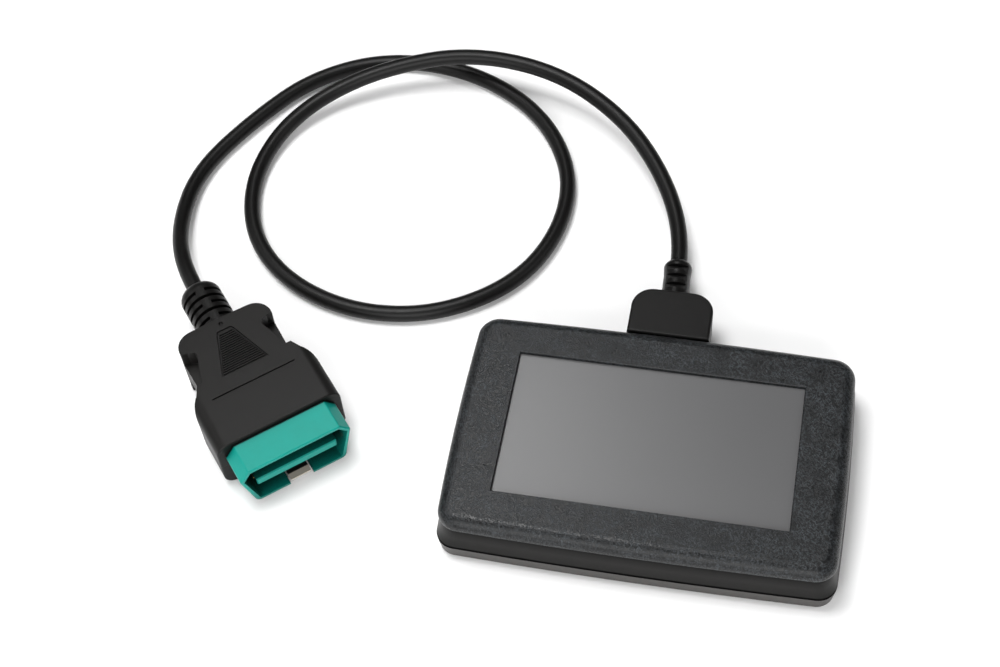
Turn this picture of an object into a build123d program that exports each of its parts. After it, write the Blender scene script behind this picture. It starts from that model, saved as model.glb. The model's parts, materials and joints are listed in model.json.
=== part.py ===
from build123d import *
import math
import os

os.makedirs("parts", exist_ok=True)

# A touch-screen vehicle code reader with its diagnostic lead.
# Millimetres. Origin on the table, under the middle of the case.
# +X is the width, +Y points to the back, where the lead plugs in, and +Z is up.

# --- case ---------------------------------------------------------------
CASE_W = 128.6            # textured cover, across its bowed sides
CASE_D = 83.6
CASE_TOP = 21.8
SIDE_BOW = 1.0            # each side bows out by this much
CORNER_R = 7.4
WALL = 2.2
FOOT_H = 0.5
PARTING_LOW = 7.0         # joint between bottom cover and middle band
PARTING_HIGH = 17.3       # joint between middle band and textured cover
SEAM = 0.5                # height of the shadow gap along a joint
SEAM_DEPTH = 1.2
CROWN_R = 4.2             # rolled edge of the textured cover
BAND_TOP_INSET = 0.8      # the band starts this far under the textured cover
FLARE = 0.95              # and spreads this far past it at the lower joint
FLARE_CORNER_R = 6.4
BASE_FLARE = 0.25         # outline of the floor, past the textured cover's
BASE_CORNER_R = 5.8
BASE_EDGE_R = 0.7
FLOOR_T = 2.0
LOW_LIP_INSET = 0.9
LIP_INSET = 2.5
LIP_T = 1.2
LIP_H = 1.6
LIP_PLAY = 0.2

# --- display ------------------------------------------------------------
SCREEN_W = 95.04          # visible window of a 4.3 inch 16:9 panel
SCREEN_D = 53.86
GLASS_TOP = 20.3
GLASS_W = 104.0
GLASS_D = 63.0
GLASS_T = 1.1
GASKET_T = 0.3
GASKET_RIM = 3.5
PANEL_W = 105.4
PANEL_D = 67.1
PANEL_H = 2.9
PANEL_CELL_T = 1.2
PANEL_SKIN = 0.4

# --- board and fixings --------------------------------------------------
BOARD_W = 110.0
BOARD_D = 70.0
BOARD_T = 1.6
BOARD_TOP = 7.0
BOARD_NOTCH = 7.0
BOARD_SCREW_X = 44.0
BOARD_SCREW_Y = 29.0
POST_X = 56.5
POST_Y = 34.5
POST_R = 3.2
POST_TOP = 12.0
SCREW_R = 1.25
SCREW_HEAD_R = 2.3
INSERT_R = 2.0
INSERT_L = 5.0
BOARD_SCREW_R = 1.0
STANDOFF_R = 2.8
FOOT_R = 4.5
FOOT_X = 50.0
FOOT_Y = 30.0

# --- socket and lead connector -------------------------------------------
AXIS_Z = 11.0             # height of the socket, hood and both cable exits
SOCKET_W = 20.0
SOCKET_H = 8.0
SOCKET_L = 12.0
SOCKET_SKIN = 0.5
SOCKET_FACE_Y = 40.6
BAY_W = 17.0              # opening that takes the plug
BAY_H = 5.0
BAY_L = 7.4
BLADE_W = 12.6
BLADE_T = 1.3
BLADE_L = 5.4
WAY_COUNT = 5
WAY_PITCH = 2.2
WAY_W = 0.9
WAY_T = 0.15
PLUG_SHELL_W = 16.4
PLUG_SHELL_H = 4.4
PLUG_SKIN = 0.4
PLUG_REACH = 7.6
PLUG_ROOT = 5.0
HOOD_W = 28.1
HOOD_H = 14.5
HOOD_Y0 = 43.1
HOOD_Y1 = 62.0
HOOD_CORNER_R = 7.5
HOOD_EDGE_R = 0.9
RELIEF_W = 9.9
RELIEF_L = 16.3
RELIEF_LEAN = 2.5         # degrees that the sleeve gives to the left
RELIEF_SLOT = 2.1
RELIEF_SLOT_Y = 3.4
RELIEF_SLOT_PITCH = 3.9

# --- lead ----------------------------------------------------------------
CABLE_D = 5.9
ARC_SHARE = 0.45          # part of the shorter run that each bend takes

# --- diagnostic plug, drawn along its own axes ---------------------------
# Its own +Y runs from the front face back to the cable.
OBD_X = -122.05
OBD_Y = -12.15
OBD_TURN = 40.3
OBD_H = 22.0
OBD_HALF_W = 22.75
OBD_WAIST = 16.8
OBD_EAR = 17.2
OBD_LEN = 48.4
OBD_BLOCK_LEN = 19.5
OBD_SHOULDER_END = 27.2
OBD_ROUND = 4.4
OBD_FRONT_EDGE = 0.35
OBD_WALL = 2.2
BOOT_R = 7.4
BOOT_LEN = 22.6
BOOT_PITCH = 3.1
BOOT_FIRST_SLOT = 3.8
NOSE_LEN = 11.9
NOSE_TOP = 20.4
NOSE_BOTTOM = 1.2
NOSE_TOP_HALF = 16.7
NOSE_WIDE_HALF = 20.3
NOSE_NARROW_HALF = 16.6
NOSE_BEVEL = 4.3
NOSE_CREASE_R = 0.8       # between the top and its bevels
NOSE_SIDE_R = 1.2         # at the widest edges
NOSE_TOE_R = 2.0          # at the lower corners
NOSE_WALL = 1.3
NOSE_DEPTH = 15.3
TONGUE_W = 29.6
TONGUE_T = 3.4
TONGUE_LEN = 14.5
PIN_PITCH = 4.0
PIN_COUNT = 8
PIN_W = 1.6
PIN_T = 0.8
PIN_TIP_BACK = 5.8        # pin tips stand this far behind the nose's rim
PIN_TAIL = 17.0
HOUSING_ROOT = 12.0
ROOT_INSET = 0.6
ROOT_PLAY = 0.05
NOTCH_W = 8.6
LEAF_W = 7.4
LEAF_T = 0.5


def write(node, shape):
    """Write one named sub-part."""
    export_step(shape, f"parts/{node}.step")


def block(x0, x1, y0, y1, z0, z1):
    """Box between two opposite corners."""
    middle = ((x0 + x1) / 2, (y0 + y1) / 2, (z0 + z1) / 2)
    return Pos(*middle) * Box(x1 - x0, y1 - y0, z1 - z0)


def centred(width, y0, y1, z0, z1):
    """Box that is symmetrical about the middle plane."""
    return block(-width / 2, width / 2, y0, y1, z0, z1)


def upright(x, y, z0, z1, radius):
    """Vertical cylinder."""
    return Pos(x, y, (z0 + z1) / 2) * Cylinder(radius, z1 - z0)


def corners(x, y):
    """The four mirrored positions of a point."""
    return [(sx * x, sy * y) for sx in (-1, 1) for sy in (-1, 1)]


def group(solids):
    """Separate solids that share one node."""
    return Compound(children=list(solids))


def case_face(inset, z, corner=None):
    """Bowed rounded rectangle of the case at height z, drawn in by inset."""
    hx = CASE_W / 2 - inset
    hy = CASE_D / 2 - inset
    cx = hx - SIDE_BOW
    cy = hy - SIDE_BOW
    ends = [(cx, cy), (-cx, cy), (-cx, -cy), (cx, -cy)]
    crowns = [(0, hy), (-hx, 0), (0, -hy), (hx, 0)]
    sides = [ThreePointArc(ends[i], crowns[i], ends[(i + 1) % 4]) for i in range(4)]
    face = make_face(sides)
    face = fillet(face.vertices(), corner or max(CORNER_R - inset, 1.0))
    return Pos(0, 0, z) * face


def prism(inset, z0, z1):
    """Straight slab of the case outline."""
    return extrude(case_face(inset, z0), z1 - z0)


def flared_band(z0, z1):
    """Outer form of the middle band: upright under the cover, then spreading."""
    mid_inset = 0.55
    low_inset = 0.0
    height = z1 - z0
    sections = [
        case_face(-FLARE, z0, FLARE_CORNER_R),
        case_face(low_inset, z0 + height * 0.33, FLARE_CORNER_R),
        case_face(mid_inset, z0 + height * 0.67, FLARE_CORNER_R),
        case_face(BAND_TOP_INSET, z1, CORNER_R - BAND_TOP_INSET),
    ]
    return loft(sections)


# --- case -----------------------------------------------------------------

def top_cover():
    """Textured cover: rolled edge, screen window, glass seat and screw bosses."""
    cover = prism(0, PARTING_HIGH, CASE_TOP)
    cover = fillet(cover.faces().sort_by(Axis.Z)[-1].edges(), CROWN_R)
    cover -= prism(WALL, PARTING_HIGH, GLASS_TOP)
    lip = prism(LIP_INSET + LIP_PLAY, PARTING_HIGH - LIP_H, GLASS_TOP)
    lip -= prism(LIP_INSET + LIP_PLAY + LIP_T, PARTING_HIGH - LIP_H, GLASS_TOP)
    web = prism(WALL, PARTING_HIGH, PARTING_HIGH + 1.0)
    web -= prism(LIP_INSET + LIP_PLAY + LIP_T, PARTING_HIGH, PARTING_HIGH + 1.0)
    cover += lip
    cover += web
    window_rim = 0.25
    window = centred(SCREEN_W, -SCREEN_D / 2, SCREEN_D / 2, GLASS_TOP - 1, CASE_TOP + 1)
    cover -= window
    rim = cover.edges().filter_by(lambda e: on_window_rim(e))
    cover = chamfer(rim, window_rim)
    for x, y in corners(POST_X, POST_Y):
        cover += upright(x, y, POST_TOP, GLASS_TOP + 0.4, POST_R)
        cover -= upright(x, y, POST_TOP, POST_TOP + INSERT_L, INSERT_R)
        cover -= upright(x, y, POST_TOP, GLASS_TOP - 1.5, SCREW_R + 0.2)
    return cover


def on_window_rim(edge):
    """True for the four upper edges of the screen window."""
    middle = edge.center()
    high = abs(middle.Z - CASE_TOP) < 0.01
    inside = abs(middle.X) <= SCREEN_W / 2 + 0.1 and abs(middle.Y) <= SCREEN_D / 2 + 0.1
    return high and inside


def middle_band():
    """Satin band between the covers, with the socket opening in its back."""
    z0 = PARTING_LOW
    z1 = PARTING_HIGH
    band = flared_band(z0 + SEAM / 2, z1 - SEAM / 2)
    band += prism(SEAM_DEPTH - FLARE, z0, z0 + 1.0)
    band += prism(BAND_TOP_INSET + SEAM_DEPTH, z1 - 1.0, z1)
    band -= prism(LIP_INSET, z0 - 1, z1 + 1)
    band -= prism(LOW_LIP_INSET, z0 - 1, z0 + LIP_H + LIP_PLAY)
    opening_w = BAY_W + 5.0
    opening_h = SOCKET_H + 0.6
    half = opening_h / 2
    back = CASE_D / 2
    band -= centred(opening_w, back - 6, back + 4, AXIS_Z - half, AXIS_Z + half)
    return band


def bottom_cover():
    """Shallow tray with screw posts, board standoffs and stiffening ribs."""
    z0 = FOOT_H
    z1 = PARTING_LOW
    floor_top = z0 + FLOOR_T
    rim_z = z1 - SEAM / 2
    tray = loft([case_face(-BASE_FLARE, z0, BASE_CORNER_R), case_face(-FLARE, rim_z, FLARE_CORNER_R)])
    tray = fillet(tray.faces().sort_by(Axis.Z)[0].edges(), BASE_EDGE_R)
    tray += prism(SEAM_DEPTH - FLARE, z1 - 1, z1)
    tray += prism(LOW_LIP_INSET + LIP_PLAY, z1 - 1, z1 + LIP_H)
    tray -= prism(LOW_LIP_INSET + LIP_PLAY + LIP_T, floor_top, z1 + LIP_H + 1)
    slot_half = (BAY_W + 8.0) / 2
    socket_play = 0.15
    back = CASE_D / 2
    tray -= block(-slot_half, slot_half, back - 6, back + 4, z1 + socket_play, z1 + 3)
    tray -= block(-slot_half, slot_half, back - 6, SOCKET_FACE_Y + socket_play, z1 - socket_play, z1 + 3)
    rib_t = 1.2
    rib_top = floor_top + 1.2
    for y in (-20.0, 0.0, 20.0):
        tray += block(-52, 52, y - rib_t / 2, y + rib_t / 2, floor_top - 0.1, rib_top)
    for x, y in corners(POST_X, POST_Y):
        tray += upright(x, y, floor_top - 0.1, POST_TOP - 0.1, POST_R)
        tray -= upright(x, y, z0 - 1, POST_TOP + 1, SCREW_R + 0.25)
        tray -= upright(x, y, z0 - 1, z0 + 2.6, SCREW_HEAD_R + 0.3)
    for x, y in corners(BOARD_SCREW_X, BOARD_SCREW_Y):
        tray += upright(x, y, floor_top - 0.1, BOARD_TOP - BOARD_T, STANDOFF_R)
        tray -= upright(x, y, floor_top, BOARD_TOP, BOARD_SCREW_R)
    return tray


def rubber_feet():
    """Four round self-adhesive feet."""
    pads = []
    for x, y in corners(FOOT_X, FOOT_Y):
        pad = upright(x, y, 0, FOOT_H, FOOT_R)
        pads.append(chamfer(pad.faces().sort_by(Axis.Z)[0].edges(), 0.15))
    return group(pads)


def touch_glass():
    """Cover glass of the touch screen, pressed up behind the window."""
    z0 = GLASS_TOP - GLASS_T
    glass = centred(GLASS_W, -GLASS_D / 2, GLASS_D / 2, z0, GLASS_TOP)
    return fillet(glass.edges().filter_by(Axis.Z), 1.5)


def display_gasket():
    """Foam frame between the glass and the display panel."""
    z1 = GLASS_TOP - GLASS_T
    z0 = z1 - GASKET_T
    frame = centred(GLASS_W, -GLASS_D / 2, GLASS_D / 2, z0, z1)
    inner_w = GLASS_W - 2 * GASKET_RIM
    inner_d = GLASS_D - 2 * GASKET_RIM
    return frame - centred(inner_w, -inner_d / 2, inner_d / 2, z0 - 1, z1 + 1)


def panel_top():
    """Height of the display panel's upper face."""
    return GLASS_TOP - GLASS_T - GASKET_T


def lcd_frame():
    """Folded steel tray that holds the display panel together."""
    z1 = panel_top()
    z0 = z1 - PANEL_H
    tray = centred(PANEL_W, -PANEL_D / 2, PANEL_D / 2, z0, z1)
    inner_w = PANEL_W - 2 * PANEL_SKIN
    inner_d = PANEL_D - 2 * PANEL_SKIN
    tray -= centred(inner_w, -inner_d / 2, inner_d / 2, z0 + PANEL_SKIN, z1 - PANEL_SKIN)
    view_w = SCREEN_W + 2.0
    view_d = SCREEN_D + 2.0
    return tray - centred(view_w, -view_d / 2, view_d / 2, z1 - 1, z1 + 1)


def lcd_cell():
    """Liquid-crystal glass under the tray's rim."""
    z1 = panel_top() - PANEL_SKIN
    width = PANEL_W - 2 * PANEL_SKIN - 0.4
    depth = PANEL_D - 2 * PANEL_SKIN - 0.4
    return centred(width, -depth / 2, depth / 2, z1 - PANEL_CELL_T, z1)


def backlight():
    """Light guide behind the cell."""
    z1 = panel_top() - PANEL_SKIN - PANEL_CELL_T
    z0 = panel_top() - PANEL_H + PANEL_SKIN
    width = PANEL_W - 2 * PANEL_SKIN - 0.4
    depth = PANEL_D - 2 * PANEL_SKIN - 0.4
    return centred(width, -depth / 2, depth / 2, z0, z1)


def main_board():
    """Printed circuit board with notched corners and four fixing holes."""
    z0 = BOARD_TOP - BOARD_T
    board = centred(BOARD_W, -BOARD_D / 2, BOARD_D / 2, z0, BOARD_TOP)
    x = BOARD_W / 2 - BOARD_NOTCH
    y = BOARD_D / 2 - BOARD_NOTCH
    for sx in (-1, 1):
        for sy in (-1, 1):
            notch = Box(2 * BOARD_NOTCH, 2 * BOARD_NOTCH, 4 * BOARD_T)
            place = (sx * (x + BOARD_NOTCH), sy * (y + BOARD_NOTCH), BOARD_TOP)
            board -= Pos(*place) * notch
    for hx, hy in corners(BOARD_SCREW_X, BOARD_SCREW_Y):
        board -= upright(hx, hy, z0 - 1, BOARD_TOP + 1, BOARD_SCREW_R + 0.15)
    return board


def chip(x, y, width, depth, height, lead_rows=0):
    """Packaged circuit on the board, with a row of legs on two sides if asked."""
    z0 = BOARD_TOP
    lift = 0.15 if lead_rows else 0.0
    parts = block(x - width / 2, x + width / 2, y - depth / 2, y + depth / 2, z0 + lift, z0 + height)
    pitch = 1.27
    leg_w = 0.45
    leg_l = 1.0
    leg_h = height / 2
    for i in range(lead_rows):
        leg_x = x + (i - (lead_rows - 1) / 2) * pitch
        for side in (-1, 1):
            y0 = y + side * depth / 2
            y1 = y0 + side * leg_l
            lo = min(y0, y1)
            hi = max(y0, y1)
            parts += block(leg_x - leg_w / 2, leg_x + leg_w / 2, lo, hi, z0, z0 + leg_h)
    return parts


def capacitors():
    """Can capacitors of the power supply, on square bases."""
    cans = []
    base_h = 1.0
    for x, y, radius, height in ((30, 24, 3.1, 5.6), (38, 24, 3.1, 5.6), (30, 15, 2.4, 5.2)):
        can = upright(x, y, BOARD_TOP + base_h, BOARD_TOP + height, radius)
        can = fillet(can.faces().sort_by(Axis.Z)[-1].edges(), 0.4)
        half = radius + 0.2
        can += block(x - half, x + half, y - half, y + half, BOARD_TOP, BOARD_TOP + base_h)
        cans.append(can)
    return group(cans)


def power_inductor():
    """Shielded coil of the power supply."""
    coil = block(40, 47, 11, 18, BOARD_TOP, BOARD_TOP + 3.5)
    coil = chamfer(coil.edges().filter_by(Axis.Z), 1.4)
    return coil


def crystal():
    """Oval metal can beside the processor."""
    can = block(-22, -11, 11, 15.5, BOARD_TOP, BOARD_TOP + 3.2)
    return fillet(can.edges().filter_by(Axis.Z), 2.0)


def buzzer():
    """Round sounder with a hole in its lid."""
    x = -38
    y = 18
    body = upright(x, y, BOARD_TOP, BOARD_TOP + 6.0, 6.0)
    body = fillet(body.faces().sort_by(Axis.Z)[-1].edges(), 0.5)
    return body - upright(x, y, BOARD_TOP + 4.5, BOARD_TOP + 7, 1.1)


RIBBON_W = 24.0
RIBBON_T = 0.3
RIBBON_Y = -24.0


def ribbon_connector():
    """Flat-cable socket of the display on the board."""
    body = block(-14, 14, RIBBON_Y - 2.5, RIBBON_Y + 2.5, BOARD_TOP, BOARD_TOP + 2.0)
    slot = block(-12.2, 12.2, RIBBON_Y - 2.6, RIBBON_Y + 1.2, BOARD_TOP + 0.8, BOARD_TOP + 1.3)
    return body - slot


def display_ribbon():
    """Flat cable that folds from under the panel down to its socket."""
    z_top = panel_top() - PANEL_H - RIBBON_T
    z_low = BOARD_TOP + 0.9
    fold_y = -PANEL_D / 2 - 1.0
    half = RIBBON_W / 2
    upper = block(-half, half, fold_y, RIBBON_Y, z_top, z_top + RIBBON_T)
    drop = block(-half, half, fold_y, fold_y + RIBBON_T, z_low, z_top + RIBBON_T)
    lower = block(-half, half, fold_y, RIBBON_Y + 1.0, z_low, z_low + RIBBON_T)
    return upper + drop + lower


def pan_screw(x, y, head_z, head_r, head_h, shank_r, shank_z):
    """Pan-head screw with a cross recess, pointing from head_z towards shank_z."""
    down = 1 if shank_z > head_z else -1
    face = head_z - down * head_h
    screw = upright(x, y, min(head_z, face), max(head_z, face), head_r)
    screw += upright(x, y, min(head_z, shank_z), max(head_z, shank_z), shank_r)
    slot_w = head_r * 0.28
    slot_l = head_r * 1.2
    depth = head_h * 0.6
    screw -= Pos(x, y, face) * Box(slot_l, slot_w, 2 * depth)
    screw -= Pos(x, y, face) * Box(slot_w, slot_l, 2 * depth)
    return screw


def board_screws():
    """Four screws that hold the board on its standoffs."""
    tip = FOOT_H + FLOOR_T + 0.4
    screws = []
    for x, y in corners(BOARD_SCREW_X, BOARD_SCREW_Y):
        screws.append(pan_screw(x, y, BOARD_TOP, 1.9, 1.2, BOARD_SCREW_R - 0.02, tip))
    return group(screws)


def case_screws():
    """Four screws that come up through the posts into the top cover."""
    seat = FOOT_H + 2.6
    tip = POST_TOP + INSERT_L - 0.3
    screws = []
    for x, y in corners(POST_X, POST_Y):
        screws.append(pan_screw(x, y, seat, SCREW_HEAD_R, 1.5, SCREW_R, tip))
    return group(screws)


def threaded_inserts():
    """Brass inserts in the top cover's bosses."""
    sleeves = []
    for x, y in corners(POST_X, POST_Y):
        sleeve = upright(x, y, POST_TOP, POST_TOP + INSERT_L, INSERT_R)
        sleeve -= upright(x, y, POST_TOP - 1, POST_TOP + INSERT_L + 1, SCREW_R + 0.02)
        groove = upright(x, y, POST_TOP + 2.1, POST_TOP + 2.9, INSERT_R)
        groove -= upright(x, y, POST_TOP + 2.1, POST_TOP + 2.9, INSERT_R - 0.3)
        sleeves.append(sleeve - groove)
    return group(sleeves)


# --- socket in the case -----------------------------------------------------

def rounded_bar(width, height, y0, y1, radius):
    """Bar along Y, centred on the connector axis, with rounded long edges."""
    bar = centred(width, y0, y1, AXIS_Z - height / 2, AXIS_Z + height / 2)
    return fillet(bar.edges().filter_by(Axis.Y), radius)


def socket_shell():
    """Plated shield of the socket, with two pegs into the board."""
    y0 = SOCKET_FACE_Y - SOCKET_L
    y1 = SOCKET_FACE_Y
    shell = rounded_bar(SOCKET_W, SOCKET_H, y0, y1, 1.2)
    shell -= rounded_bar(SOCKET_W - 2 * SOCKET_SKIN, SOCKET_H - 2 * SOCKET_SKIN, y0 - 1, y1 + 1, 0.8)
    return shell


def way_positions():
    """Middle of each contact across the connector."""
    return [(i - (WAY_COUNT - 1) / 2) * WAY_PITCH for i in range(WAY_COUNT)]


def socket_insulator():
    """Moulded core of the socket with its contact blade."""
    y0 = SOCKET_FACE_Y - SOCKET_L + 0.4
    y1 = SOCKET_FACE_Y - 0.3
    play = 0.02
    width = SOCKET_W - 2 * SOCKET_SKIN - play
    height = SOCKET_H - 2 * SOCKET_SKIN - play
    core = rounded_bar(width, height, y0, y1, 0.8)
    core -= rounded_bar(BAY_W, BAY_H, y1 - BAY_L, y1 + 1, 0.8)
    half = BLADE_T / 2
    return core + centred(BLADE_W, y1 - BAY_L - 0.1, y1 - BAY_L + BLADE_L, AXIS_Z - half, AXIS_Z + half)


def socket_contacts():
    """Two rows of spring contacts on the blade."""
    y1 = SOCKET_FACE_Y - 0.3 - BAY_L + BLADE_L - 0.5
    y0 = SOCKET_FACE_Y - 0.3 - BAY_L
    z = BLADE_T / 2
    strips = []
    for x in way_positions():
        for lo, hi in ((z, z + WAY_T), (-z - WAY_T, -z)):
            strips.append(block(x - WAY_W / 2, x + WAY_W / 2, y0, y1, AXIS_Z + lo, AXIS_Z + hi))
    return group(strips)


# --- lead: connector at the case --------------------------------------------

def plug_shell():
    """Plated shell that enters the socket."""
    y0 = HOOD_Y0 - PLUG_REACH
    y1 = HOOD_Y0 + PLUG_ROOT
    shell = rounded_bar(PLUG_SHELL_W, PLUG_SHELL_H, y0, y1, 0.7)
    inner_w = PLUG_SHELL_W - 2 * PLUG_SKIN
    inner_h = PLUG_SHELL_H - 2 * PLUG_SKIN
    return shell - rounded_bar(inner_w, inner_h, y0 - 1, y1 + 1, 0.4)


def plug_insulator():
    """Moulded core inside the plug shell, slotted for the socket's blade."""
    y0 = HOOD_Y0 - PLUG_REACH + 0.3
    y1 = HOOD_Y0 + PLUG_ROOT
    core = rounded_bar(PLUG_SHELL_W - 2 * PLUG_SKIN, PLUG_SHELL_H - 2 * PLUG_SKIN, y0, y1, 0.4)
    slot_t = BLADE_T + 2 * WAY_T + 0.3
    slot = centred(BLADE_W + 0.6, y0 - 1, y0 + BLADE_L + 0.7, AXIS_Z - slot_t / 2, AXIS_Z + slot_t / 2)
    core -= slot
    for piece in contact_strips():
        core -= piece
    return core


def contact_strips():
    """Contacts let into the roof and floor of the plug's slot."""
    y0 = HOOD_Y0 - PLUG_REACH + 0.8
    y1 = HOOD_Y0 + PLUG_ROOT
    inner = (BLADE_T + 2 * WAY_T + 0.3) / 2
    outer = inner + WAY_T
    strips = []
    for x in way_positions():
        for lo, hi in ((inner, outer), (-outer, -inner)):
            strips.append(block(x - WAY_W / 2, x + WAY_W / 2, y0, y1, AXIS_Z + lo, AXIS_Z + hi))
    return strips


def plug_contacts():
    """All contacts of the plug."""
    return group(contact_strips())


def plug_hood():
    """Flat moulded grip with two rounded rear corners."""
    hood = centred(HOOD_W, HOOD_Y0, HOOD_Y1, AXIS_Z - HOOD_H / 2, AXIS_Z + HOOD_H / 2)
    rear = [e for e in hood.edges().filter_by(Axis.Z) if e.center().Y > HOOD_Y1 - 0.1]
    hood = fillet(rear, HOOD_CORNER_R)
    top = hood.faces().sort_by(Axis.Z)[-1].edges()
    low = hood.faces().sort_by(Axis.Z)[0].edges()
    hood = fillet(list(top) + list(low), HOOD_EDGE_R)
    return hood - rounded_bar(PLUG_SHELL_W, PLUG_SHELL_H, HOOD_Y0 - 1, HOOD_Y0 + PLUG_ROOT, 0.7)


def relief_lean():
    """Turn of the sleeve about its root on the hood."""
    return Location((0, HOOD_Y1, AXIS_Z), (0, 0, RELIEF_LEAN))


def relief_point(distance):
    """A point on the sleeve's axis, this far from the hood."""
    lean = math.radians(RELIEF_LEAN)
    return (-distance * math.sin(lean), HOOD_Y1 + distance * math.cos(lean), AXIS_Z)


def strain_relief():
    """Slotted sleeve where the cable leaves the hood, with a rounded last ring."""
    root_r = RELIEF_W / 2
    waist_r = root_r - 0.2
    tip_r = CABLE_D / 2 + 0.4
    ring = RELIEF_L - 2.4
    under = -1.0
    outline = [
        Line((0, under), (root_r, under)),
        Line((root_r, under), (waist_r, ring - 3.5)),
        Line((waist_r, ring - 3.5), (root_r + 0.05, ring)),
        ThreePointArc((root_r + 0.05, ring), (root_r - 0.45, ring + 1.6), (tip_r, RELIEF_L)),
        Line((tip_r, RELIEF_L), (0, RELIEF_L)),
        Line((0, RELIEF_L), (0, under)),
    ]
    sleeve = revolve(make_face(outline), Axis.Y)
    for i in range(3):
        y = RELIEF_SLOT_Y + i * RELIEF_SLOT_PITCH
        for side in (-1, 1):
            z0 = side * (CABLE_D / 2 + 0.2)
            z1 = side * 9.0
            sleeve -= block(-8, 8, y, y + RELIEF_SLOT, min(z0, z1), max(z0, z1))
    sleeve = relief_lean() * sleeve
    return sleeve - centred(HOOD_W, HOOD_Y1 - 4, HOOD_Y1, AXIS_Z - 9, AXIS_Z + 9)


# --- lead: cable --------------------------------------------------------------

def obd_point(x, y, z):
    """A point of the diagnostic plug's own axes, in the part's frame."""
    turn = math.radians(OBD_TURN)
    px = OBD_X + x * math.cos(turn) - y * math.sin(turn)
    py = OBD_Y + x * math.sin(turn) + y * math.cos(turn)
    return (px, py, z)


def cable_route():
    """Corner points of the cable, from the case's plug to the diagnostic plug."""
    boot_end = OBD_LEN + BOOT_LEN
    return [
        relief_point(RELIEF_L),
        relief_point(RELIEF_L + 14),
        (-11.5, 117.5, 12),
        (-30, 141.5, 14),
        (-58.5, 159, 16),
        (-93, 163.5, 16),
        (-124, 156, 11.5),
        (-147, 142.5, 7),
        (-161, 123.5, 4),
        (-165, 98.5, 3),
        (-157, 73, 3),
        (-137.5, 55, 3),
        (-110.5, 46.5, 3),
        (-82, 50.5, 3),
        (-57, 68, 3),
        (-45.5, 94, 3),
        (-46.5, 122.5, 3),
        (-64, 150, 3),
        (-94, 166.5, 3),
        (-127.3, 168.1, 3),
        (-154.6, 154.1, 3),
        (-172.6, 129.4, 3),
        (-186.6, 102, 3),
        (-186, 76, 5),
        obd_point(0, boot_end + 14, AXIS_Z),
        obd_point(0, boot_end, AXIS_Z),
    ]


def bend_radii(points):
    """Radius of each bend: as large as its two runs allow."""
    radii = []
    for i in range(1, len(points) - 1):
        before = Vector(points[i]) - Vector(points[i - 1])
        after = Vector(points[i + 1]) - Vector(points[i])
        turn = math.radians(before.get_angle(after))
        run = min(before.length, after.length)
        radii.append(ARC_SHARE * run / math.tan(turn / 2))
    return radii


def lead_cable():
    """Round cable: straight runs joined by tangent arcs."""
    points = cable_route()
    radii = bend_radii(points)
    print("bend radii", [round(r, 1) for r in radii])
    path = FilletPolyline(*points, radius=radii)
    start = Plane(origin=path @ 0, z_dir=path % 0)
    cable = sweep(start * Circle(CABLE_D / 2), path=path)
    section = math.pi * (CABLE_D / 2) ** 2
    print("cable length", round(path.length, 1), "volume", round(cable.volume, 1),
          "section times length", round(section * path.length, 1))
    return cable


# --- lead: diagnostic plug ------------------------------------------------------

def obd_place(shape):
    """Turn a piece of the diagnostic plug to where the plug lies."""
    return Location((OBD_X, OBD_Y, 0), (0, 0, OBD_TURN)) * shape


def obd_outline(inset):
    """Plan of the black body: wide front, shoulders, waist and rounded ears."""
    wide = OBD_HALF_W - inset
    waist = OBD_WAIST - inset
    ear = OBD_EAR - inset
    rear = OBD_LEN - inset
    front = inset
    s0 = OBD_BLOCK_LEN
    s1 = OBD_SHOULDER_END
    right = [
        Line((0, front), (wide, front)),
        Line((wide, front), (wide, s0 - 4)),
        ThreePointArc((wide, s0 - 4), (wide - 0.9, s0), (wide - 3.3, s0 + 3.4)),
        Line((wide - 3.3, s0 + 3.4), (waist + 0.8, s1 - 0.8)),
        ThreePointArc((waist + 0.8, s1 - 0.8), (waist + 0.2, s1 + 0.2), (waist, s1 + 1.6)),
        Line((waist, s1 + 1.6), (ear, rear - 6.5)),
        ThreePointArc((ear, rear - 6.5), (ear - 1.9, rear - 2.1), (ear - 6.2, rear - 0.3)),
        Line((ear - 6.2, rear - 0.3), (0, rear)),
    ]
    half = Curve() + right
    return make_face(half + mirror(half, Plane.YZ))


def obd_block():
    """Full outer form of the black body."""
    body = extrude(obd_outline(0), OBD_H)
    section = Pos(0, 0, OBD_H / 2) * Rot(90, 0, 0) * RectangleRounded(2 * OBD_HALF_W, OBD_H, OBD_ROUND)
    body &= extrude(section, OBD_LEN + 2, both=True)
    front = body.faces().sort_by(Axis.Y)[0].edges()
    return chamfer(front, OBD_FRONT_EDGE)


def thumb_scoops(z0, z1):
    """Finger recesses beside the waist, deepest at the ears."""
    inner = [(15.6, 26.6), (14.2, 32.0), (12.4, 38.0), (12.6, 39.4), (15.0, 40.6), (19.5, 41.0)]
    outline = make_face(Polyline(*inner, (24, 41.0), (24, 26.6), inner[0]))
    scoop = Pos(0, 0, z0) * extrude(outline, z1 - z0)
    return [scoop, mirror(scoop, Plane.YZ)]


GRIP_Y0 = 25.3
GRIP_Y1 = 43.2
GRIP_FRONT_HALF = 8.6
GRIP_REAR_HALF = 3.2
GRIP_RIBS = 18
GRIP_DEPTH = 0.55
GRIP_GROOVE = 0.5           # of the rib pitch
GRIP_MARGIN = 0.7
GRIP_END = 0.8
SCORE_Y = 18.8
SCORE_HALF = 15.3
SCORE_W = 0.5
DIMPLE_Y = 45.8


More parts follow.
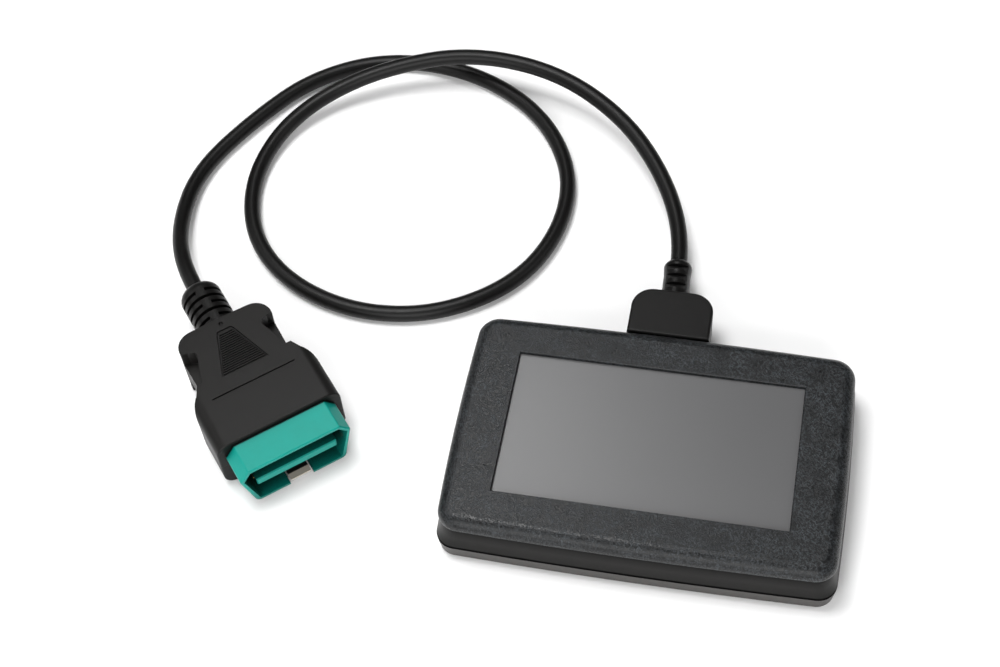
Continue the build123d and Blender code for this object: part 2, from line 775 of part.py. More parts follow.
def grip_outline(margin):
    """Trapezoid of the ribbed grip, drawn in by margin."""
    y0 = GRIP_Y0 + margin
    y1 = GRIP_Y1 - margin
    front = GRIP_FRONT_HALF - margin
    rear = GRIP_REAR_HALF - margin * 0.7
    cut = 1.2
    points = [(-front, y0), (front, y0), (rear, y1 - cut), (rear - cut * 0.6, y1),
              (-rear + cut * 0.6, y1), (-rear, y1 - cut), (-front, y0)]
    return make_face(Polyline(*points))


def grip_marks(surface_z, into):
    """Scored line, ribbed trapezoid and dimple cut into one broad face."""
    recess = Pos(0, 0, surface_z) * extrude(grip_outline(0), into * GRIP_DEPTH)
    pitch = (GRIP_Y1 - GRIP_Y0 - 2 * GRIP_END) / GRIP_RIBS
    field = Pos(0, 0, surface_z) * extrude(grip_outline(GRIP_MARGIN), into * GRIP_DEPTH)
    z_low = min(surface_z, surface_z + into * GRIP_DEPTH)
    for i in range(GRIP_RIBS):
        y = GRIP_Y0 + GRIP_END + i * pitch
        y_end = y + pitch * (1 - GRIP_GROOVE)
        rib = block(-GRIP_FRONT_HALF, GRIP_FRONT_HALF, y, y_end, z_low, z_low + GRIP_DEPTH)
        recess -= rib & field
    deep = surface_z + into * 0.5
    marks = [recess]
    marks.append(block(-SCORE_HALF, SCORE_HALF, SCORE_Y - SCORE_W / 2, SCORE_Y + SCORE_W / 2,
                       min(surface_z, deep), max(surface_z, deep)))
    marks.append(Pos(0, DIMPLE_Y, surface_z) * Sphere(0.75))
    return marks


def body_hollow():
    """Room inside the black body for the housing's root and the wires."""
    bay = nose_bar(ROOT_INSET, -1, HOUSING_ROOT)
    wires = centred(33, HOUSING_ROOT - 1, OBD_BLOCK_LEN + 1, AXIS_Z - 6.0, AXIS_Z + 6.0)
    neck = centred(18, OBD_BLOCK_LEN, OBD_LEN - OBD_WALL - 3.0, AXIS_Z - 4.5, AXIS_Z + 4.5)
    return bay + wires + neck


def obd_half(upper):
    """One of the two moulded halves of the black body."""
    body = obd_block()
    body -= body_hollow()
    if upper:
        body -= centred(80, -5, 60, -1, AXIS_Z)
        scoops = thumb_scoops(OBD_H - 6.5, OBD_H + 1)
        marks = grip_marks(OBD_H, -1)
    else:
        body -= centred(80, -5, 60, AXIS_Z, OBD_H + 1)
        scoops = thumb_scoops(-1, 6.5)
        marks = grip_marks(0, 1)
    for cut in scoops + marks:
        body -= cut
    return body


def obd_shell_top():
    """Upper half of the diagnostic plug's body."""
    return obd_place(obd_half(True))


def obd_shell_bottom():
    """Lower half of the diagnostic plug's body."""
    return obd_place(obd_half(False))


def nose_section(inset):
    """Cross-section of the nose, in width and height, drawn in by inset."""
    top = NOSE_TOP - inset
    low = NOSE_BOTTOM + inset
    flat = NOSE_TOP_HALF - inset * 0.4
    wide = NOSE_WIDE_HALF - inset
    narrow = NOSE_NARROW_HALF - inset
    bevel = NOSE_TOP - NOSE_BEVEL - inset * 0.45
    right = [(flat, top), (wide, bevel), (narrow, low)]
    left = [(-x, z) for x, z in reversed(right)]
    face = make_face(Polyline(*right, *left, right[0]))
    for height, radius in ((top, NOSE_CREASE_R), (bevel, NOSE_SIDE_R), (low, NOSE_TOE_R)):
        level = [v for v in face.vertices() if abs(v.Y - height) < 0.01]
        face = fillet(level, max(radius - inset, 0.3))
    return face


def nose_bar(inset, y0, y1):
    """Bar of the nose's section between two depths."""
    return Pos(0, y1, 0) * extrude(Rot(90, 0, 0) * nose_section(inset), y1 - y0)


def pin_row(z, tip_y):
    """Eight flat contacts with chamfered tips."""
    pins = []
    for i in range(PIN_COUNT):
        x = (i - (PIN_COUNT - 1) / 2) * PIN_PITCH
        pin = block(x - PIN_W / 2, x + PIN_W / 2, tip_y, PIN_TAIL, z - PIN_T / 2, z + PIN_T / 2)
        tip = [e for e in pin.faces().sort_by(Axis.Y)[0].edges()]
        pins.append(chamfer(tip, 0.25))
    return pins


def pin_heights():
    """Heights of the lower and upper pin rows, midway between tongue and wall."""
    middle = (NOSE_TOP + NOSE_BOTTOM) / 2
    gap = (NOSE_TOP - NOSE_BOTTOM) / 2 - NOSE_WALL - TONGUE_T / 2
    offset = TONGUE_T / 2 + gap / 2
    return middle - offset, middle + offset


def tip_y():
    """Depth of the pin tips."""
    return -NOSE_LEN + PIN_TIP_BACK


def connector_housing():
    """Coloured nose with its tongue, latch notch and the root that holds the pins."""
    middle = (NOSE_TOP + NOSE_BOTTOM) / 2
    floor_y = NOSE_DEPTH - NOSE_LEN
    nose = nose_bar(0, -NOSE_LEN, 0)
    rim = nose.faces().sort_by(Axis.Y)[0].outer_wire().edges()
    nose = chamfer(rim, 0.35)
    nose += nose_bar(ROOT_INSET + ROOT_PLAY, -1, HOUSING_ROOT - ROOT_PLAY)
    nose -= nose_bar(NOSE_WALL, -NOSE_LEN - 1, floor_y)
    half = TONGUE_T / 2
    tongue = centred(TONGUE_W, floor_y - TONGUE_LEN, floor_y + 0.1, middle - half, middle + half)
    front = tongue.faces().sort_by(Axis.Y)[0].edges()
    nose += chamfer(front, 0.4)
    nose -= centred(NOTCH_W, -NOSE_LEN - 1, -3.0, NOSE_BOTTOM - 1, NOSE_BOTTOM + NOSE_WALL + 0.3)
    for z in pin_heights():
        for pin in pin_row(z, tip_y()):
            nose -= pin
    return obd_place(nose)


def lower_pins():
    """Contacts below the tongue."""
    return obd_place(group(pin_row(pin_heights()[0], tip_y())))


def upper_pins():
    """Contacts above the tongue."""
    return obd_place(group(pin_row(pin_heights()[1], tip_y())))


LEAF_ROOT_Y = -3.2
LEAF_BEND_Y = -8.0
LEAF_TIP_Y = -11.4
LEAF_Z = 2.0


def latch_spring():
    """Plated leaf in the notch: it lifts into the nose as the plug goes home."""
    rise = 0.6
    bend = 0.8
    under = [(LEAF_ROOT_Y, LEAF_Z), (LEAF_BEND_Y, LEAF_Z),
             (LEAF_BEND_Y - bend, LEAF_Z + rise), (LEAF_TIP_Y, LEAF_Z + rise)]
    over = [(y, z + LEAF_T) for y, z in reversed(under)]
    profile = under + over + under[:1]
    side = make_face(Polyline(*profile))
    leaf = extrude(Plane.YZ * side, LEAF_W / 2, both=True)
    return obd_place(leaf)


def plug_boot():
    """Ribbed rubber boot with staggered slots and a rounded end."""
    y0 = OBD_LEN
    boot = Cylinder(BOOT_R, BOOT_LEN, align=(Align.CENTER, Align.CENTER, Align.MIN))
    boot = fillet(boot.faces().sort_by(Axis.Z)[-1].edges(), 3.8)
    core = CABLE_D / 2 + 1.6
    slot_w = 1.3
    for i in range(5):
        z = BOOT_FIRST_SLOT + i * BOOT_PITCH
        ring = Pos(0, 0, z) * Cylinder(BOOT_R + 1, slot_w, align=(Align.CENTER, Align.CENTER, Align.MIN))
        ring -= Pos(0, 0, z) * Cylinder(core, slot_w, align=(Align.CENTER, Align.CENTER, Align.MIN))
        bridge = 3.4
        if i % 2:
            ring -= Pos(0, 0, z) * Box(2 * BOOT_R + 4, bridge, 3 * slot_w)
        else:
            ring -= Pos(0, 0, z) * Box(bridge, 2 * BOOT_R + 4, 3 * slot_w)
        boot -= ring
    boot = Pos(0, y0, AXIS_Z) * Rot(-90, 0, 0) * boot
    return obd_place(boot)


def chips():
    """The board's packaged circuits."""
    return {
        "processor": chip(-8, -2, 14, 14, 1.4),
        "memory_chip": chip(14, -4, 18.4, 12, 1.2, 12),
        "transceiver": chip(14, 22, 5.0, 4.0, 1.5, 4),
    }


PARTS = {
    "top_cover": top_cover,
    "middle_band": middle_band,
    "bottom_cover": bottom_cover,
    "rubber_feet": rubber_feet,
    "touch_glass": touch_glass,
    "display_gasket": display_gasket,
    "lcd_frame": lcd_frame,
    "lcd_cell": lcd_cell,
    "backlight": backlight,
    "main_board": main_board,
    "capacitors": capacitors,
    "power_inductor": power_inductor,
    "crystal": crystal,
    "buzzer": buzzer,
    "ribbon_connector": ribbon_connector,
    "display_ribbon": display_ribbon,
    "board_screws": board_screws,
    "case_screws": case_screws,
    "threaded_inserts": threaded_inserts,
    "socket_shell": socket_shell,
    "socket_insulator": socket_insulator,
    "socket_contacts": socket_contacts,
    "plug_shell": plug_shell,
    "plug_insulator": plug_insulator,
    "plug_contacts": plug_contacts,
    "plug_hood": plug_hood,
    "strain_relief": strain_relief,
    "lead_cable": lead_cable,
    "plug_boot": plug_boot,
    "obd_shell_top": obd_shell_top,
    "obd_shell_bottom": obd_shell_bottom,
    "connector_housing": connector_housing,
    "upper_pins": upper_pins,
    "lower_pins": lower_pins,
    "latch_spring": latch_spring,
}

for name, make in PARTS.items():
    write(name, make())
for name, shape in chips().items():
    write(name, shape)
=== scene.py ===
import json
import math

import bpy
from mathutils import Matrix, Vector


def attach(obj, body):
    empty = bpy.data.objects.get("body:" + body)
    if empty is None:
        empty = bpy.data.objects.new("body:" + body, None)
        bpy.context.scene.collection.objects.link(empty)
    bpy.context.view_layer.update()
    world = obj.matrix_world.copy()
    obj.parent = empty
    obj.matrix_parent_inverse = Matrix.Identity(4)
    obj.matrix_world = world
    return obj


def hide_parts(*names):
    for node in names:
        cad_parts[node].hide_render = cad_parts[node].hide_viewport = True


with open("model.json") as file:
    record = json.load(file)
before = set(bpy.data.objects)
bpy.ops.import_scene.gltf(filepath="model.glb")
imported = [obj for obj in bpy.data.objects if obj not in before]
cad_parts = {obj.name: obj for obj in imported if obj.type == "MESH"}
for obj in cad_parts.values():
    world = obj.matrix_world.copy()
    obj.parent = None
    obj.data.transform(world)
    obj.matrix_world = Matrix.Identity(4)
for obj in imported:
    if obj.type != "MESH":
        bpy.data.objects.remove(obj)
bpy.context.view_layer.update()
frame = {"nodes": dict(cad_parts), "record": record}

NODES = frame["nodes"]
SCENE = bpy.context.scene

# --- view ---------------------------------------------------------------------
CAMERA_AT = Vector((0.0351, -0.2942, 0.5161))
CAMERA_AZIMUTH = math.radians(15.52)
CAMERA_ELEVATION = math.radians(55.51)
CAMERA_ROLL = math.radians(-5.81)
LENS_MM = 63.75
SENSOR_MM = 36.0

# --- floor and lights, in metres and watts --------------------------------------
FLOOR_HALF = 3.0
FLOOR_DROP = 0.0002          # keeps the floor just clear of the feet
FLOOR_WHITE = 0.96
AIM = (-0.06, 0.04, 0)       # the middle of the whole layout
SKY = 0.11

# --- heights of the case's joints, above the table ------------------------------
LIP_SHADE_FOOT = 0.0115      # the painted shade under the cover's lip starts here
LIP_SHADE_FULL = 0.0172      # and is full here
# heights where the band's foot and the lower shell's top are painted black as seam shade
BAND_SEAM_TOP = 0.0079
BAND_SEAM_FULL = 0.0075
SHELL_SEAM_FOOT = 0.0064
SHELL_SEAM_FULL = 0.0068

# --- surface grain ----------------------------------------------------------------
FINE_GRAIN = 5200            # cycles per metre
FINE_DEPTH = 0.00002
BRUSH_DEPTH = 0.000004
EASED_EDGE = 0.0003
# colour of the painted shade under the cover's lip and in the case's seams
PAINTED_SHADE_BLACK = 0.0006

# --- lead ---------------------------------------------------------------------
CABLE_D = 0.0059
AXIS_Z = 0.011
OBD_AT = Vector((-0.12205, -0.01215, 0.0))
OBD_TURN = math.radians(40.3)
OBD_LEN = 0.0484
BOOT_LEN = 0.0226
HOOD_BACK_Y = 0.062
RELIEF_LEN = 0.0163
STRAIGHT_RUN = 0.014         # the cable runs straight this far out of each end
RELIEF_LEAN = math.radians(2.5)


def obd_point(x, y, z):
    """A point of the diagnostic plug's own axes, in the frame."""
    turned = Matrix.Rotation(OBD_TURN, 3, "Z") @ Vector((x, y, 0.0))
    return OBD_AT + turned + Vector((0.0, 0.0, z))


def relief_point(distance):
    """A point on the strain relief's axis, away from the hood."""
    y = HOOD_BACK_Y + distance * math.cos(RELIEF_LEAN)
    return Vector((-distance * math.sin(RELIEF_LEAN), y, AXIS_Z))


CABLE_ROUTE = [
    relief_point(RELIEF_LEN),
    relief_point(RELIEF_LEN + STRAIGHT_RUN),
    (-0.0115, 0.1175, 0.012),
    (-0.030, 0.1415, 0.014),
    (-0.0585, 0.159, 0.016),
    (-0.093, 0.1635, 0.016),
    (-0.124, 0.156, 0.0115),
    (-0.147, 0.1425, 0.007),
    (-0.161, 0.1235, 0.004),
    (-0.165, 0.0985, 0.003),
    (-0.157, 0.073, 0.003),
    (-0.1375, 0.055, 0.003),
    (-0.1105, 0.0465, 0.003),
    (-0.082, 0.0505, 0.003),
    (-0.057, 0.068, 0.003),
    (-0.0455, 0.094, 0.003),
    (-0.0465, 0.1225, 0.003),
    (-0.064, 0.15, 0.003),
    (-0.094, 0.1665, 0.003),
    (-0.1273, 0.1681, 0.003),
    (-0.1546, 0.1541, 0.003),
    (-0.1726, 0.1294, 0.003),
    (-0.1866, 0.102, 0.003),
    (-0.186, 0.076, 0.005),
    obd_point(0, OBD_LEN + BOOT_LEN + STRAIGHT_RUN, AXIS_Z),
    obd_point(0, OBD_LEN + BOOT_LEN, AXIS_Z),
]


# --- camera, floor and lights --------------------------------------------------

def add_camera():
    """Camera at the view's azimuth, elevation and roll."""
    data = bpy.data.cameras.new("view")
    data.lens = LENS_MM
    data.sensor_width = SENSOR_MM
    data.clip_start = 0.01
    camera = bpy.data.objects.new("view", data)
    SCENE.collection.objects.link(camera)
    tilt = Matrix.Rotation(math.pi / 2 - CAMERA_ELEVATION, 4, "X")
    spin = Matrix.Rotation(CAMERA_AZIMUTH, 4, "Z")
    roll = Matrix.Rotation(CAMERA_ROLL, 4, "Z")
    camera.matrix_world = Matrix.Translation(CAMERA_AT) @ spin @ tilt @ roll
    SCENE.camera = camera


def add_floor():
    """Plain pale floor."""
    mesh = bpy.data.meshes.new("floor")
    half = FLOOR_HALF
    corners = [(-half, -half, 0), (half, -half, 0), (half, half, 0), (-half, half, 0)]
    mesh.from_pydata(corners, [], [(0, 1, 2, 3)])
    floor = bpy.data.objects.new("floor", mesh)
    SCENE.collection.objects.link(floor)
    floor.location.z = -FLOOR_DROP
    material = bpy.data.materials.new("floor_white")
    material.use_nodes = True
    shader = material.node_tree.nodes["Principled BSDF"]
    shader.inputs["Base Color"].default_value = (FLOOR_WHITE, FLOOR_WHITE, FLOOR_WHITE, 1)
    shader.inputs["Roughness"].default_value = 0.7
    shader.inputs["Specular IOR Level"].default_value = 0.2
    mesh.materials.append(material)


def add_area(name, at, size, watts, size_y=None):
    """Soft box facing the layout, square unless its second side is given."""
    data = bpy.data.lights.new(name, "AREA")
    data.energy = watts
    data.shape = "RECTANGLE" if size_y else "SQUARE"
    data.size = size
    if size_y:
        data.size_y = size_y
    lamp = bpy.data.objects.new(name, data)
    SCENE.collection.objects.link(lamp)
    at = Vector(at)
    turn = (Vector(AIM) - at).to_track_quat("-Z", "Y").to_matrix().to_4x4()
    lamp.matrix_world = Matrix.Translation(at) @ turn


def add_lights():
    """Key overhead to the left, a wide soft box in front, weak sides, a card behind, dim sky."""
    add_area("key", (-0.30, 0.10, 1.12), 0.46, 9.5)
    add_area("front", (-0.05, -1.15, 0.62), 1.4, 17, size_y=0.9)
    add_area("left", (-1.15, 0.0, 0.75), 0.7, 2.5)
    add_area("right", (1.05, 0.10, 0.80), 0.7, 2.5)
    add_area("card", (-0.25, 0.56, 1.0), 0.24, 1.8)
    world = bpy.data.worlds.new("sky")
    world.use_nodes = True
    back = world.node_tree.nodes["Background"]
    back.inputs["Color"].default_value = (1, 1, 1, 1)
    back.inputs["Strength"].default_value = SKY
    SCENE.world = world
    SCENE.view_settings.view_transform = "Standard"
    SCENE.view_settings.look = "None"


# --- materials -------------------------------------------------------------------

class Tree:
    """Small helper for building a node material in object coordinates."""

    def __init__(self, name):
        self.material = bpy.data.materials.new(name)
        self.material.use_nodes = True
        self.nodes = self.material.node_tree.nodes
        self.links = self.material.node_tree.links
        self.shader = self.nodes["Principled BSDF"]
        self.coords = self.nodes.new("ShaderNodeTexCoord").outputs["Object"]

    def add(self, kind, inputs=None, **props):
        """Adds a node, with sockets set by name or linked."""
        node = self.nodes.new(kind)
        for key, value in props.items():
            setattr(node, key, value)
        for key, value in (inputs or {}).items():
            self.put(node.inputs[key], value)
        return node

    def put(self, socket, value):
        """Links an output or sets a constant."""
        if isinstance(value, bpy.types.NodeSocket):
            self.links.new(value, socket)
        else:
            socket.default_value = value

    def noise(self, scale, detail=4.0, rough=0.55, vector=None):
        """Noise texture, scale in cycles per metre."""
        node = self.add(
            "ShaderNodeTexNoise",
            {"Vector": vector or self.coords, "Scale": scale, "Detail": detail, "Roughness": rough},
        )
        return node.outputs["Fac"]

    def stretched(self, sx, sy, sz, turn=0.0):
        """Object coordinates turned about Z, then scaled by axis."""
        turned = self.add("ShaderNodeMapping", {"Vector": self.coords, "Rotation": (0.0, 0.0, turn)})
        node = self.add("ShaderNodeMapping", {"Vector": turned.outputs["Vector"], "Scale": (sx, sy, sz)})
        return node.outputs["Vector"]

    def along_plug(self):
        """Distance back along the diagnostic plug's own axis."""
        along = Vector((-math.sin(OBD_TURN), math.cos(OBD_TURN), 0.0))
        dot = self.add("ShaderNodeVectorMath", operation="DOT_PRODUCT")
        self.put(dot.inputs[0], self.coords)
        self.put(dot.inputs[1], along)
        return self.math("SUBTRACT", dot.outputs["Value"], OBD_AT.dot(along))

    def span(self, value, low, high, to_low=0.0, to_high=1.0):
        """Value remapped and clamped."""
        inputs = {"Value": value, "From Min": low, "From Max": high, "To Min": to_low, "To Max": to_high}
        return self.add("ShaderNodeMapRange", inputs).outputs["Result"]

    def math(self, operation, a, b=0.0):
        """One arithmetic step."""
        node = self.add("ShaderNodeMath", operation=operation)
        self.put(node.inputs[0], a)
        self.put(node.inputs[1], b)
        return node.outputs[0]

    def blend(self, factor, a, b):
        """Colour between a and b."""
        node = self.add("ShaderNodeMix", data_type="RGBA")
        self.put(node.inputs["Factor"], factor)
        for index, colour in ((6, a), (7, b)):
            value = colour if isinstance(colour, bpy.types.NodeSocket) else (*colour, 1.0)
            self.put(node.inputs[index], value)
        return node.outputs[2]

    def rounded(self, radius):
        """Normal with crisp edges rounded a little."""
        return self.add("ShaderNodeBevel", {"Radius": radius}, samples=4).outputs["Normal"]

    def height_above_table(self):
        """Height of the shaded point in the part's own axes."""
        return self.add("ShaderNodeSeparateXYZ", {"Vector": self.coords}).outputs["Z"]

    def open_air(self, reach):
        """1 on open faces, falling to 0 in cavities; drives painted shade in recesses."""
        node = self.add("ShaderNodeAmbientOcclusion", {"Distance": reach}, samples=6)
        return self.span(node.outputs["AO"], 0.3, 0.9)

    def bump(self, height, distance, strength=1.0, after=None):
        """Bump in metres."""
        node = self.add("ShaderNodeBump", {"Height": height, "Distance": distance, "Strength": strength})
        if after is not None:
            self.put(node.inputs["Normal"], after)
        return node.outputs["Normal"]

    def finish(self, colour, rough, normal=None, **sockets):
        """Wires the shader."""
        self.put(self.shader.inputs["Base Color"], colour)
        self.put(self.shader.inputs["Roughness"], rough)
        if normal is not None:
            self.put(self.shader.inputs["Normal"], normal)
        for key, value in sockets.items():
            self.shader.inputs[key.replace("_", " ")].default_value = value
        return self.material


def grey(value, warm=0.0):
    """Linear grey, a little warm or cool."""
    return (value * (1 + warm), value, value * (1 - warm))


def leather_grain():
    """Grained cover: short creased strokes over fine pebbles; stroke tops lighter and cool, partly grain
    tone and partly painted glints.
    """
    t = Tree("grained_cover")
    patches = t.noise(140, 4, 0.6)
    first = t.noise(1.0, 4, 0.6, t.stretched(2300, 880, 1300, 0.6))
    second = t.noise(1.0, 4, 0.6, t.stretched(2200, 850, 1300, -0.7))
    third = t.noise(1.0, 4, 0.6, t.stretched(2350, 900, 1300, 1.9))
    fine = t.noise(4300, 3, 0.6)
    strokes = t.math("MAXIMUM", t.span(first, 0.53, 0.64), t.span(second, 0.53, 0.64))
    strokes = t.math("MAXIMUM", strokes, t.span(third, 0.55, 0.66))
    height = t.math("ADD", strokes, t.math("MULTIPLY", fine, 0.5))
    # lighter, cool stroke tops: partly grain tone, partly painted glints
    grain_and_painted_glint = t.math("MULTIPLY", strokes, t.span(patches, 0.35, 0.65, 0.25, 1.0))
    grain_and_painted_glint = t.math("MULTIPLY", grain_and_painted_glint, t.span(fine, 0.3, 0.6, 0.4, 1.0))
    colour = t.blend(grain_and_painted_glint, (0.0024, 0.0027, 0.0030), (0.048, 0.056, 0.063))
    rough = t.span(patches, 0.3, 0.7, 0.27, 0.35)
    return t.finish(colour, rough, t.bump(height, 0.00008, 0.55), Specular_IOR_Level=0.31)


def satin_plastic(name, colour, spread, rough, gloss, grain=FINE_GRAIN, depth=FINE_DEPTH, painted_shade_reach=0.0):
    """Fine-textured moulded plastic with slight blotches and eased edges; given a reach, painted shade
    in its recesses.
    """
    t = Tree(name)
    blotch = t.noise(70, 5, 0.6)
    fine = t.noise(grain, 3, 0.6)
    dark = tuple(c * (1 - spread) for c in colour)
    light = tuple(c * (1 + spread) for c in colour)
    shade = t.blend(t.span(blotch, 0.35, 0.65), dark, light)
    speckled = t.blend(t.span(fine, 0.55, 0.8, 0.0, 0.3), shade, tuple(c * 1.7 for c in colour))
    patchy = t.span(blotch, 0.3, 0.7, rough - 0.05, rough + 0.05)
    roughness = t.math("ADD", patchy, t.math("MULTIPLY", fine, 0.04))
    if painted_shade_reach:
        # painted shade: darker where ambient occlusion finds recesses
        speckled = t.blend(t.open_air(painted_shade_reach), tuple(c * 0.16 for c in colour), speckled)
    normal = t.bump(fine, depth, 0.5, t.rounded(EASED_EDGE))
    return t.finish(speckled, roughness, normal, Specular_IOR_Level=gloss)


def satin_band():
    """Flared side band: satin, with painted shade under the cover's lip and in the seam."""
    t = Tree("satin_band")
    blotch = t.noise(70, 5, 0.6)
    fine = t.noise(FINE_GRAIN, 3, 0.6)
    shade = t.blend(t.span(blotch, 0.35, 0.65), grey(0.0045, 0.08), grey(0.0062, 0.08))
    # painted shade: black under the cover's lip and at the seam, by height
    painted_lip_shade = t.span(t.height_above_table(), LIP_SHADE_FOOT, LIP_SHADE_FULL)
    painted_seam_shade = t.span(t.height_above_table(), BAND_SEAM_TOP, BAND_SEAM_FULL)
    painted_shade = t.math("MAXIMUM", painted_lip_shade, painted_seam_shade)
    shade = t.blend(painted_shade, shade, grey(PAINTED_SHADE_BLACK))
    # reflection is turned down where the shade is painted
    gloss = t.span(painted_shade, 0.0, 0.9, 0.17, 0.02)
    t.put(t.shader.inputs["Specular IOR Level"], gloss)
    rough = t.span(blotch, 0.3, 0.7, 0.34, 0.42)
    return t.finish(shade, rough, t.bump(fine, FINE_DEPTH, 0.5))


def lower_shell():
    """Lower shell: satin, with painted shade inside the seam."""
    t = Tree("lower_shell")
    blotch = t.noise(70, 5, 0.6)
    fine = t.noise(FINE_GRAIN, 3, 0.6)
    shade = t.blend(t.span(blotch, 0.35, 0.65), grey(0.019, 0.12), grey(0.025, 0.12))
    # painted shade: black with no reflection at the seam, by height
    painted_seam_shade = t.span(t.height_above_table(), SHELL_SEAM_FOOT, SHELL_SEAM_FULL)
    shade = t.blend(painted_seam_shade, shade, grey(PAINTED_SHADE_BLACK))
    t.put(t.shader.inputs["Specular IOR Level"], t.span(painted_seam_shade, 0.0, 1.0, 0.45, 0.02))
    return t.finish(shade, t.span(blotch, 0.3, 0.7, 0.38, 0.48), t.bump(fine, FINE_DEPTH, 0.5))


def nose_teal():
    """Coloured nose: satin, with painted shade in its depth and where it enters the body."""
    t = Tree("nose_teal")
    blotch = t.noise(90, 5, 0.6)
    fine = t.noise(FINE_GRAIN, 3, 0.6)
    shade = t.blend(t.span(blotch, 0.35, 0.65), (0.0033, 0.253, 0.207), (0.0037, 0.272, 0.224))
    # painted shade: darker where ambient occlusion finds recesses
    shade = t.blend(t.open_air(0.014), (0.0004, 0.020, 0.017), shade)
    # painted shade where the nose enters the body
    shade = t.blend(t.span(t.along_plug(), -0.0008, -0.0004), shade, (0.0002, 0.004, 0.0035))
    rough = t.math("ADD", t.span(blotch, 0.3, 0.7, 0.31, 0.39), t.math("MULTIPLY", fine, 0.04))
    normal = t.bump(fine, FINE_DEPTH, 0.5, t.rounded(EASED_EDGE))
    return t.finish(shade, rough, normal, Specular_IOR_Level=0.2)


def latch_leaf():
    """Spring steel, bright at its tip; behind the tip it is painted black as shade."""
    t = Tree("leaf_steel")
    depth = t.along_plug()
    lines = t.noise(2600, 3, 0.6)
    # 1 at the bare steel tip, 0 behind it where the leaf is painted black as shade
    steel_outside_painted_shade = t.span(t.math("ADD", depth, t.math("MULTIPLY", lines, 0.0004)), -0.0090, -0.0087, 1.0, 0.0)
    shade = t.blend(steel_outside_painted_shade, grey(0.003), (0.62, 0.57, 0.49))
    t.put(t.shader.inputs["Metallic"], t.math("MULTIPLY", steel_outside_painted_shade, 0.55))
    return t.finish(shade, t.span(lines, 0.3, 0.7, 0.42, 0.52), t.bump(lines, BRUSH_DEPTH, 0.4))


def rubber(name, colour, rough, gloss=0.3, painted_shade_reach=0.0):
    """Dull rubber with dust in the grain; given a reach, painted shade in its slots."""
    t = Tree(name)
    dust = t.noise(900, 6, 0.7)
    fine = t.noise(6000, 2, 0.5)
    shade = t.blend(t.span(dust, 0.5, 0.8, 0.0, 0.5), colour, tuple(c * 1.9 for c in colour))
    if painted_shade_reach:
        # painted shade: darker where ambient occlusion finds slots
        shade = t.blend(t.open_air(painted_shade_reach), tuple(c * 0.1 for c in colour), shade)
    roughness = t.span(dust, 0.3, 0.7, rough - 0.05, rough + 0.07)
    return t.finish(shade, roughness, t.bump(fine, FINE_DEPTH, 0.5), Specular_IOR_Level=gloss)


def metal(name, colour, rough):
    """Brushed metal with light stains."""
    t = Tree(name)
    lines = t.noise(1.0, 3, 0.6, t.stretched(60, 60, 9000))
    stain = t.noise(300, 4, 0.6)
    shade = t.blend(t.span(stain, 0.35, 0.7), colour, tuple(c * 0.72 for c in colour))
    streaky = t.span(lines, 0.3, 0.7, rough - 0.06, rough + 0.08)
    roughness = t.math("ADD", streaky, t.math("MULTIPLY", stain, 0.08))
    return t.finish(shade, roughness, t.bump(lines, BRUSH_DEPTH, 0.4), Metallic=1.0)


def screen():
    """Unlit display under its hard-coated, anti-glare cover."""
    t = Tree("screen_glass")
    haze = t.noise(9, 2, 0.4)
    sparkle = t.noise(7000, 2, 0.5)
    shade = t.blend(t.span(haze, 0.3, 0.7), (0.086, 0.086, 0.088), (0.092, 0.092, 0.094))
    roughness = t.math("ADD", t.span(haze, 0.3, 0.7, 0.30, 0.33), t.span(sparkle, 0.66, 0.8, 0.0, 0.06))
    return t.finish(shade, roughness, t.bump(sparkle, 0.000001, 0.2), Specular_IOR_Level=0.5)


def plain(name, colour, rough):
    """Small inner pieces: mottled colour and fine grain."""
    t = Tree(name)
    mottle = t.noise(700, 5, 0.6)
    dark = tuple(c * 0.85 for c in colour)
    light = tuple(min(c * 1.15, 1) for c in colour)
    shade = t.blend(t.span(mottle, 0.3, 0.7), dark, light)
    roughness = t.span(mottle, 0.3, 0.7, rough - 0.06, rough + 0.06)
    return t.finish(shade, roughness, t.bump(mottle, 0.00001, 0.4))


def board():
    """Solder mask with traces and pads."""
    t = Tree("board_green")
    tracks = t.add("ShaderNodeTexBrick", {"Vector": t.coords, "Scale": 420.0, "Mortar Size": 0.03})
    mottle = t.noise(900, 4, 0.6)
    shade = t.blend(tracks.outputs["Fac"], (0.004, 0.055, 0.022), (0.010, 0.12, 0.045))
    raised = t.bump(tracks.outputs["Fac"], 0.00003, 0.6)
    return t.finish(shade, t.span(mottle, 0.3, 0.7, 0.28, 0.4), raised)


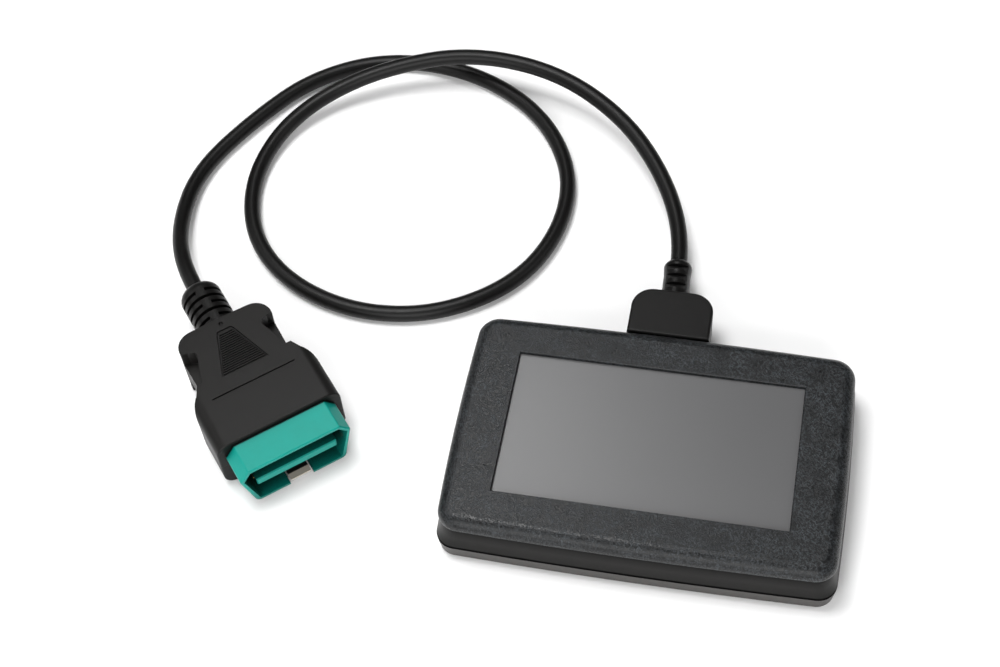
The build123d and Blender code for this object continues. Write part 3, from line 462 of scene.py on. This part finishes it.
MATERIALS = {
    "grained_cover": leather_grain,
    "satin_band": satin_band,
    "lower_shell": lower_shell,
    "foot_rubber": lambda: rubber("foot_rubber", grey(0.010), 0.7),
    "screen_glass": screen,
    "foam": lambda: rubber("foam", grey(0.006), 0.85),
    "panel_steel": lambda: metal("panel_steel", (0.55, 0.56, 0.57), 0.35),
    "panel_cell": lambda: plain("panel_cell", grey(0.05), 0.2),
    "light_guide": lambda: plain("light_guide", grey(0.6), 0.3),
    "board_green": board,
    "chip_black": lambda: plain("chip_black", grey(0.012), 0.55),
    "can_metal": lambda: metal("can_metal", (0.6, 0.61, 0.62), 0.3),
    "ferrite": lambda: plain("ferrite", grey(0.03), 0.6),
    "ribbon_film": lambda: plain("ribbon_film", (0.30, 0.11, 0.015), 0.35),
    "connector_cream": lambda: plain("connector_cream", (0.62, 0.56, 0.40), 0.45),
    "screw_steel": lambda: metal("screw_steel", (0.42, 0.42, 0.43), 0.32),
    "brass": lambda: metal("brass", (0.72, 0.50, 0.20), 0.3),
    "shield_steel": lambda: metal("shield_steel", (0.6, 0.6, 0.6), 0.28),
    "insulator_black": lambda: plain("insulator_black", grey(0.010), 0.5),
    "contact_gold": lambda: metal("contact_gold", (0.85, 0.60, 0.25), 0.22),
    "hood_black": lambda: satin_plastic("hood_black", grey(0.005, 0.04), 0.10, 0.40, 0.17),
    # the last argument is the reach of painted shade in the slots
    "relief_black": lambda: rubber("relief_black", grey(0.004, 0.04), 0.32, 0.25, 0.0016),
    "cable_black": lambda: rubber("cable_black", grey(0.0018, 0.08), 0.40, 0.22),
    "boot_black": lambda: rubber("boot_black", grey(0.0035, 0.05), 0.36, 0.2, 0.0016),
    # the plug body gets painted shade in its recesses
    "plug_black": lambda: satin_plastic(
        "plug_black", grey(0.0058, 0.07), 0.10, 0.40, 0.18, grain=4200, depth=0.00003, painted_shade_reach=0.0012
    ),
    "nose_teal": nose_teal,
    "leaf_steel": latch_leaf,
}


def dress_nodes():
    """Gives every carried-over node the finished material of its slot."""
    slots = {s["node"]: s["material_slot"] for s in frame["record"]["subparts"]}
    made = {}
    for node, obj in NODES.items():
        name = slots[node]
        if name not in made:
            made[name] = MATERIALS[name]()
        if not obj.material_slots:
            obj.data.materials.append(made[name])
        for holder in obj.material_slots:
            holder.link = "OBJECT"
            holder.material = made[name]
    return made


# --- cable ------------------------------------------------------------------------

def add_cable(material):
    """Round cable along its route."""
    curve = bpy.data.curves.new("cable", "CURVE")
    curve.dimensions = "3D"
    curve.bevel_depth = CABLE_D / 2
    curve.bevel_resolution = 6
    curve.resolution_u = 16
    curve.use_fill_caps = True
    spline = curve.splines.new("NURBS")
    spline.points.add(len(CABLE_ROUTE) - 1)
    for point, at in zip(spline.points, CABLE_ROUTE):
        point.co = (*at, 1.0)
    spline.order_u = 3
    spline.use_endpoint_u = True
    cable = bpy.data.objects.new("cable", curve)
    SCENE.collection.objects.link(cable)
    curve.materials.append(material)
    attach(cable, "lead")
    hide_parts("lead_cable")


add_camera()
add_floor()
add_lights()
made = dress_nodes()
add_cable(made["cable_black"])
